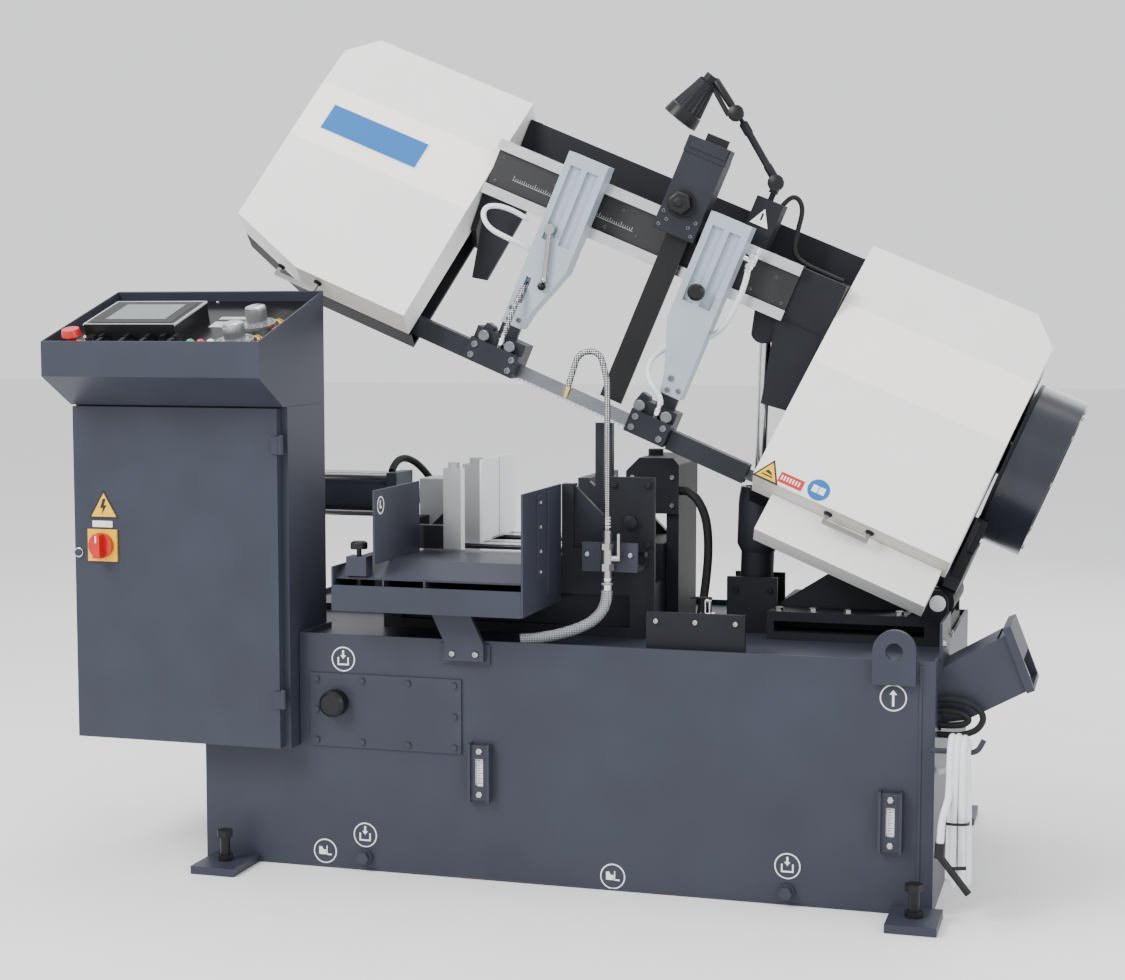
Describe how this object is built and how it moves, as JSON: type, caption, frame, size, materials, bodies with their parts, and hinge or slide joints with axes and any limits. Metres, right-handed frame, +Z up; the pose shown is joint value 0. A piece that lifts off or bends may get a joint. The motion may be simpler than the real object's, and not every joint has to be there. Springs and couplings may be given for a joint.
{
  "type": "horizontal band saw",
  "caption": "Semi-automatic horizontal metal band saw: swinging head on a welded base with power vise, control desk, coolant line and chip chute.",
  "frame": {"origin": "centre of the base's footprint, on the floor", "axes": "+X right along the blade as seen by the operator, +Y away from the operator, +Z up"},
  "size_m": [1.9844, 0.994, 1.7065],
  "materials": {
    "arm_paint": "satin",
    "base_paint": "satin",
    "black_paint": "satin",
    "black_plastic": "matte",
    "brass": "plain",
    "bright_steel": "ground",
    "cast": "painted",
    "cover_paint": "semi-gloss",
    "grey_plastic": "matte",
    "machined_steel": "machined",
    "red_plastic": "gloss",
    "rubber": "matte",
    "white_hose": "satin",
    "zinc": "zinc plated"
  },
  "bodies": {
    "base": {"base_cabinet": "base_paint", "base_fittings": "base_paint", "cable_loops": "rubber", "chip_chute": "base_paint", "console_housing": "base_paint", "console_panel": "grey_plastic", "coolant_valve": "brass", "electrical_cabinet": "base_paint", "fixed_jaw": "black_paint", "front_tray": "base_paint", "hmi_screen": "black_plastic", "hydraulic_unit": "base_paint", "levelling_bolts": "zinc", "panel_fittings": "black_plastic", "pivot_shaft": "bright_steel", "saw_bed": "base_paint", "supply_hose": "rubber", "vise_bed": "base_paint", "vise_cylinder": "base_paint", "wash_hose_coil": "white_hose", "wash_hose_tail": "white_hose", "wash_nozzle": "black_plastic", "wear_strips": "bright_steel"},
    "head": {"head_frame": "black_paint", "guide_rails": "bright_steel", "lower_blade_guard": "cover_paint", "gearbox": "black_paint", "motor": "black_paint", "belt_guard": "black_paint", "drive_belt": "rubber", "lamp_box": "black_paint", "blade": "bright_steel", "feeler_clamp": "arm_paint", "lift_rod": "bright_steel"},
    "filler_cap": {"filler_cap": "black_plastic"},
    "cabinet_door": {"cabinet_door": "base_paint"},
    "isolator_knob": {"isolator_knob": "red_plastic"},
    "selector_left": {"selector_left": "black_plastic"},
    "selector_right": {"selector_right": "black_plastic"},
    "stop_button": {"stop_button": "red_plastic"},
    "start_button": {"start_button": "zinc"},
    "feed_knob": {"feed_knob": "black_plastic"},
    "pressure_knob": {"pressure_knob": "black_plastic"},
    "moving_jaw": {"moving_jaw": "machined_steel"},
    "valve_lever": {"valve_lever": "zinc"},
    "left_cover": {"left_cover": "cover_paint"},
    "right_cover": {"right_cover": "cover_paint"},
    "drive_wheel": {"drive_wheel": "machined_steel"},
    "idler_wheel": {"idler_wheel": "machined_steel"},
    "input_pulley": {"input_pulley": "machined_steel"},
    "motor_pulley": {"motor_pulley": "machined_steel"},
    "left_arm": {"left_guide_arm": "arm_paint", "left_guide_head": "machined_steel"},
    "right_arm": {"right_guide_arm": "arm_paint", "right_guide_head": "machined_steel"},
    "lock_lever": {"lock_lever": "zinc"},
    "feeler_bar": {"feeler_bar": "bright_steel"},
    "lamp_arm": {"lamp_arm": "bright_steel"},
    "lamp_head": {"lamp_head": "black_paint"},
    "lift_barrel": {"lift_barrel": "cast"}
  },
  "joints": [
    {"name": "head_pivot", "type": "hinge", "parent": "base", "child": "head", "pos_m": [0.715, 0, 0.55], "axis": [0, 1, 0], "range_deg": [-23.5, 6]},
    {"name": "lift_barrel_tilt", "type": "hinge", "parent": "base", "child": "lift_barrel", "pos_m": [0.333, 0.02, 0.5], "axis": [0, 1, 0], "range_deg": [-24, 7]},
    {"name": "left_cover_hinge", "type": "hinge", "parent": "head", "child": "left_cover", "pos_m": [-0.37936, 0.15288, 1.60605], "axis": [-0.9205, 0, 0.3907], "range_deg": [0, 75]},
    {"name": "right_cover_hinge", "type": "hinge", "parent": "head", "child": "right_cover", "pos_m": [0.73169, 0.15288, 1.13444], "axis": [-0.9205, 0, 0.3907], "range_deg": [0, 75]},
    {"name": "drive_wheel_spin", "type": "hinge", "parent": "head", "child": "drive_wheel", "pos_m": [0.6118, 0.0023, 0.85202], "axis": [-0.1954, 0.866, -0.4603], "continuous": true},
    {"name": "idler_wheel_spin", "type": "hinge", "parent": "head", "child": "idler_wheel", "pos_m": [-0.49925, 0.0023, 1.32363], "axis": [-0.1954, 0.866, -0.4603], "continuous": true},
    {"name": "input_pulley_spin", "type": "hinge", "parent": "head", "child": "input_pulley", "pos_m": [0.86689, 0.12, 0.80546], "axis": [0.9205, 0, -0.3907], "continuous": true},
    {"name": "motor_pulley_spin", "type": "hinge", "parent": "head", "child": "motor_pulley", "pos_m": [0.88858, 0.33, 0.85655], "axis": [0.9205, 0, -0.3907], "continuous": true},
    {"name": "left_arm_slide", "type": "slide", "parent": "head", "child": "left_arm", "axis": [0.9205, 0, -0.3907], "range_m": [-0.025, 0.11]},
    {"name": "right_arm_slide", "type": "slide", "parent": "head", "child": "right_arm", "axis": [0.9205, 0, -0.3907], "range_m": [-0.005, 0.03]},
    {"name": "lock_lever_turn", "type": "hinge", "parent": "left_arm", "child": "lock_lever", "pos_m": [-0.07697, -0.09, 1.28704], "axis": [0, -1, 0], "range_deg": [-30, 60]},
    {"name": "feeler_bar_slide", "type": "slide", "parent": "head", "child": "feeler_bar", "axis": [0.3907, 0, 0.9205], "range_m": [0, 0.12]},
    {"name": "lamp_arm_tilt", "type": "hinge", "parent": "head", "child": "lamp_arm", "pos_m": [0.3731, 0.005, 1.37736], "axis": [0, 1, 0], "range_deg": [-10, 30]},
    {"name": "lamp_head_tilt", "type": "hinge", "parent": "lamp_arm", "child": "lamp_head", "pos_m": [0.29133, 0.005, 1.51745], "axis": [0, 1, 0], "range_deg": [-10, 25]},
    {"name": "moving_jaw_slide", "type": "slide", "parent": "base", "child": "moving_jaw", "axis": [1, 0, 0], "range_m": [-0.005, 0.2]},
    {"name": "cabinet_door_hinge", "type": "hinge", "parent": "base", "child": "cabinet_door", "pos_m": [-0.535, -0.413, 0.6], "axis": [0, 0, 1], "range_deg": [0, 110]},
    {"name": "isolator_turn", "type": "hinge", "parent": "cabinet_door", "child": "isolator_knob", "pos_m": [-0.9285, -0.42, 0.6475], "axis": [0, -1, 0], "range_deg": [0, 90]},
    {"name": "selector_left_turn", "type": "hinge", "parent": "base", "child": "selector_left", "pos_m": [-0.828, -0.50292, 1.06685], "axis": [0, -0.3081, 0.9514], "range_deg": [-45, 45]},
    {"name": "selector_right_turn", "type": "hinge", "parent": "base", "child": "selector_right", "pos_m": [-0.723, -0.50292, 1.06685], "axis": [0, -0.3081, 0.9514], "range_deg": [-45, 45]},
    {"name": "stop_button_press", "type": "slide", "parent": "base", "child": "stop_button", "axis": [0, 0.3081, -0.9514], "range_m": [0, 0.004], "stiffness_N_per_m": 1000, "springref_m": -0.002},
    {"name": "start_button_press", "type": "slide", "parent": "base", "child": "start_button", "axis": [0, 0.3081, -0.9514], "range_m": [0, 0.004], "stiffness_N_per_m": 800, "springref_m": -0.002},
    {"name": "feed_knob_turn", "type": "hinge", "parent": "base", "child": "feed_knob", "pos_m": [-0.605, -0.46677, 1.07856], "axis": [0, -0.3081, 0.9514], "range_deg": [0, 270]},
    {"name": "pressure_knob_turn", "type": "hinge", "parent": "base", "child": "pressure_knob", "pos_m": [-0.603, -0.36878, 1.11029], "axis": [0, -0.3081, 0.9514], "range_deg": [0, 270]},
    {"name": "filler_cap_turn", "type": "hinge", "parent": "base", "child": "filler_cap", "pos_m": [-0.446, -0.36, 0.34], "axis": [0, -1, 0], "continuous": true},
    {"name": "valve_lever_turn", "type": "hinge", "parent": "base", "child": "valve_lever", "pos_m": [0.106, -0.24, 0.634], "axis": [1, 0, 0], "range_deg": [0, 90]}
  ],
  "couplings": [
    {"joint": "lift_barrel_tilt", "follows": "head_pivot", "ratio": 0.997},
    {"joint": "idler_wheel_spin", "follows": "drive_wheel_spin", "ratio": 1},
    {"joint": "input_pulley_spin", "follows": "drive_wheel_spin", "ratio": 10},
    {"joint": "motor_pulley_spin", "follows": "drive_wheel_spin", "ratio": 24.4}
  ]
}
